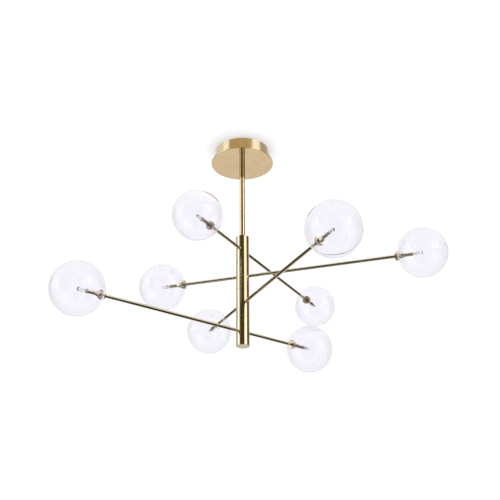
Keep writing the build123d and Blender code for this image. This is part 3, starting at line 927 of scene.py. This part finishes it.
def white_ceiling(tree):
    """White paint with a faint glow. It is clear from above and on mirrored paths.

    It fades out with the distance from the rod, the square root of x squared plus y squared.
    """
    x, y, _ = tree.parts(tree.object_place())
    distance = tree.math("SQRT", x * x + y * y)
    shown = (1 - distance.between(*RING_FADE)) * (1 - backfacing(tree)) * (1 - glossy_share(tree))
    paint = tree.add("ShaderNodeBsdfDiffuse", {}, {"Color": CEILING_PAINT})
    glow = tree.add("ShaderNodeEmission", {}, {"Color": CEILING_GLOW})
    return shown, tree.add("ShaderNodeAddShader", {}, {0: paint, 1: glow})


def set_floor():
    """Pale floor far below, a square that reaches as far to every side."""
    corners = np.array(((-1, -1, 0), (1, -1, 0), (1, 1, 0), (-1, 1, 0))) * FLOOR_REACH + (0, 0, FLOOR_HEIGHT)
    floor = new_piece("floor", corners, [(0, 1, 2, 3)], staging_material("pale_floor", pale_floor))


def set_ceiling():
    """Ring of white ceiling round the canopy, which takes its soft shadow: two circles about the rod."""
    turn = np.linspace(0, 2 * pi, RING_STEPS, endpoint=False)
    circle = np.column_stack((np.cos(turn), np.sin(turn), np.zeros(RING_STEPS)))
    points = np.concatenate((circle * RING_INSIDE, circle * RING_OUTSIDE)) + (0, 0, ceiling_height + RING_GAP)
    column = np.arange(RING_STEPS)
    following = (column + 1) % RING_STEPS
    faces = np.stack((column, following, RING_STEPS + following, RING_STEPS + column), -1).tolist()
    ceiling = new_piece("ceiling_ring", points, faces, staging_material("white_ceiling", white_ceiling))
    ceiling.visible_glossy = False
    ceiling.visible_diffuse = False


# Panels and cloths of the studio, by brightness and tone
BRIGHTEST = 2.8
BOX_MIDDLE = (BRIGHTEST, BRIGHTEST, BRIGHTEST)
SOFT_BOX = (1.5, 1.5, 1.5)
BOX_TOP = (1.1, 1.1, 1.1)
BOX_FOOT = (0.95, 0.95, 0.95)
WHITE_WALL = (1.0, 1.0, 1.0)
PALE_PANEL = (0.75, 0.75, 0.75)
SHADED_PANEL = (0.55, 0.55, 0.55)
GREY_PANEL = (0.38, 0.37, 0.32)
WARM_CLOTH = (0.43, 0.3, 0.09)
LIT_CLOTH = (0.25, 0.22, 0.15)
GREY_CLOTH = (0.11, 0.09, 0.06)
DARK_CLOTH = (0.05, 0.04, 0.02)
OVERHEAD = (0.95, 0.95, 0.95)
FAR_FLOOR_NEAR = (0.79, 0.72, 0.62)
FAR_FLOOR_EDGE = (0.63, 0.64, 0.66)
WHITE = (1.03, 1.03, 1.03)

# What stands round the light, by compass: degrees from straight towards the viewer, to the right
# positive. A soft box with a brighter middle stands on the left and another on the right, with dark cloth
# between them, and a white wall stands behind the light
WALLS = (
    (-180, WHITE_WALL), (-151, WHITE_WALL), (-136, GREY_CLOTH), (-108, GREY_CLOTH), (-100, SOFT_BOX),
    (-78, SOFT_BOX), (-75, BOX_MIDDLE), (-70, BOX_MIDDLE), (-67, SOFT_BOX), (-61, LIT_CLOTH),
    (-50, LIT_CLOTH), (-38, DARK_CLOTH), (25, DARK_CLOTH), (32, SOFT_BOX), (52, SOFT_BOX),
    (55, BOX_MIDDLE), (61, BOX_MIDDLE), (64, SOFT_BOX), (67, SHADED_PANEL), (78, SHADED_PANEL),
    (84, GREY_CLOTH), (128, GREY_CLOTH), (148, WHITE_WALL), (180, WHITE_WALL),
)
HIGH_WALLS = (
    (-180, PALE_PANEL), (-90, PALE_PANEL), (-84, BOX_TOP), (-60, BOX_TOP), (-54, WARM_CLOTH),
    (41, WARM_CLOTH), (47, BOX_TOP), (79, BOX_TOP), (85, GREY_PANEL), (125, GREY_PANEL),
    (145, PALE_PANEL), (180, PALE_PANEL),
)
BELOW_HORIZON = (
    (-180, DARK_CLOTH), (-104, DARK_CLOTH), (-96, BOX_FOOT), (-63, BOX_FOOT), (-56, DARK_CLOTH),
    (26, DARK_CLOTH), (32, BOX_FOOT), (53, BOX_FOOT), (59, DARK_CLOTH), (180, DARK_CLOTH),
)

# Soft steps from one height of the studio to the next, in z of a direction, and in y for the far floor,
# which lies straight away from the viewer
HORIZON = (-0.03, 0.07)
HIGH_WALLS_START = (0.47, 0.53)
OVERHEAD_START = (0.48, 0.76)
FAR_FLOOR_START = (0.72, 0.84)
FAR_FLOOR_FADE = (-0.56, -0.44)

# Soft lamp beyond and below the canopy: its place in millimetres, its width in metres, its power in watts
LAMP_PLACE = (0.0, 1100.0, -1000.0)
LAMP_SIZE = 1.0
LAMP_ENERGY = 2.8


def all_round(tree, compass, stops):
    """Colour by compass. A colour ramp stops at 1, so it holds a share of the brightest and is scaled up."""
    shares = [
        ((degrees + 180) / 360, tuple(part / BRIGHTEST for part in colour)) for degrees, colour in stops
    ]
    ramp = tree.add("ShaderNodeValToRGB", {"stops": shares}, {0: compass})
    return tree.add("ShaderNodeVectorMath", {"operation": "SCALE"}, {0: ramp, "Scale": BRIGHTEST})


def studio(tree):
    """The studio as metal and glass mirror it, by direction.

    The compass is the share of a turn that starts straight away from the viewer and goes by the left, the
    viewer and the right. It is the angle whose tangent is x over minus y, over a whole turn, plus a half.
    """
    x, y, z = tree.parts(tree.add("ShaderNodeTexCoord", output="Generated"))
    compass = tree.math("ARCTAN2", x, y * -1) * (0.5 / pi) + 0.5
    walls = tree.mix(
        z.between(*HIGH_WALLS_START), all_round(tree, compass, WALLS), all_round(tree, compass, HIGH_WALLS))
    far_floor = tree.mix(z.between(*FAR_FLOOR_FADE), FAR_FLOOR_NEAR, FAR_FLOOR_EDGE)
    floor = tree.mix(y.between(*FAR_FLOOR_START), all_round(tree, compass, BELOW_HORIZON), far_floor)
    above = tree.mix(z.between(*OVERHEAD_START), walls, OVERHEAD)
    return tree.mix(z.between(*HORIZON), floor, above)


def mirrored_share(tree):
    """1 on the paths that see the studio, and 0 on those that see plain white.

    A path sees the studio once a mirror-like surface has turned it, unless its last turn was on a dull
    one. It meets the metal through no glass, or goes through a globe's wall twice, which makes four faces.
    One to three faces are a path that turned inside a wall, and five or more are one that met a capsule or
    another globe: all these see white.
    """
    faces_passed = path_count(tree, "Transmission Depth")
    within_wall = faces_passed.at_least(1) * (1 - faces_passed.at_least(4))
    in_capsule = faces_passed.at_least(5)
    dull = path_count(tree, "Is Diffuse Ray")
    return glossy_share(tree) * (1 - dull) * (1 - within_wall - in_capsule)


def set_studio():
    """White all round for what is seen directly or through glass, and the studio for what is mirrored."""
    world = bpy.data.worlds.new("studio")
    bpy.context.scene.world = world
    tree = Tree(world)
    colour = tree.mix(mirrored_share(tree), WHITE, studio(tree))
    light = tree.add("ShaderNodeBackground", {}, {"Color": colour})
    tree.add("ShaderNodeOutputWorld", {}, {"Surface": light})


def set_lamp():
    """Big soft lamp for the canopy's shadow. It points at the frame's origin, on the ceiling."""
    lamp = bpy.data.objects.new("soft_lamp", bpy.data.lights.new("soft_lamp", "AREA"))
    lamp.data.shape = "DISK"
    lamp.data.size = LAMP_SIZE
    lamp.data.energy = LAMP_ENERGY
    place = Vector(LAMP_PLACE) * MM
    lamp.matrix_world = Matrix.Translation(place) @ (-place).to_track_quat("-Z", "Y").to_matrix().to_4x4()
    lamp.visible_camera = False
    lamp.visible_glossy = False
    lamp.visible_transmission = False
    bpy.context.scene.collection.objects.link(lamp)


set_camera()
set_floor()
set_ceiling()
set_studio()
set_lamp()
bpy.context.scene.view_settings.view_transform = "Standard"
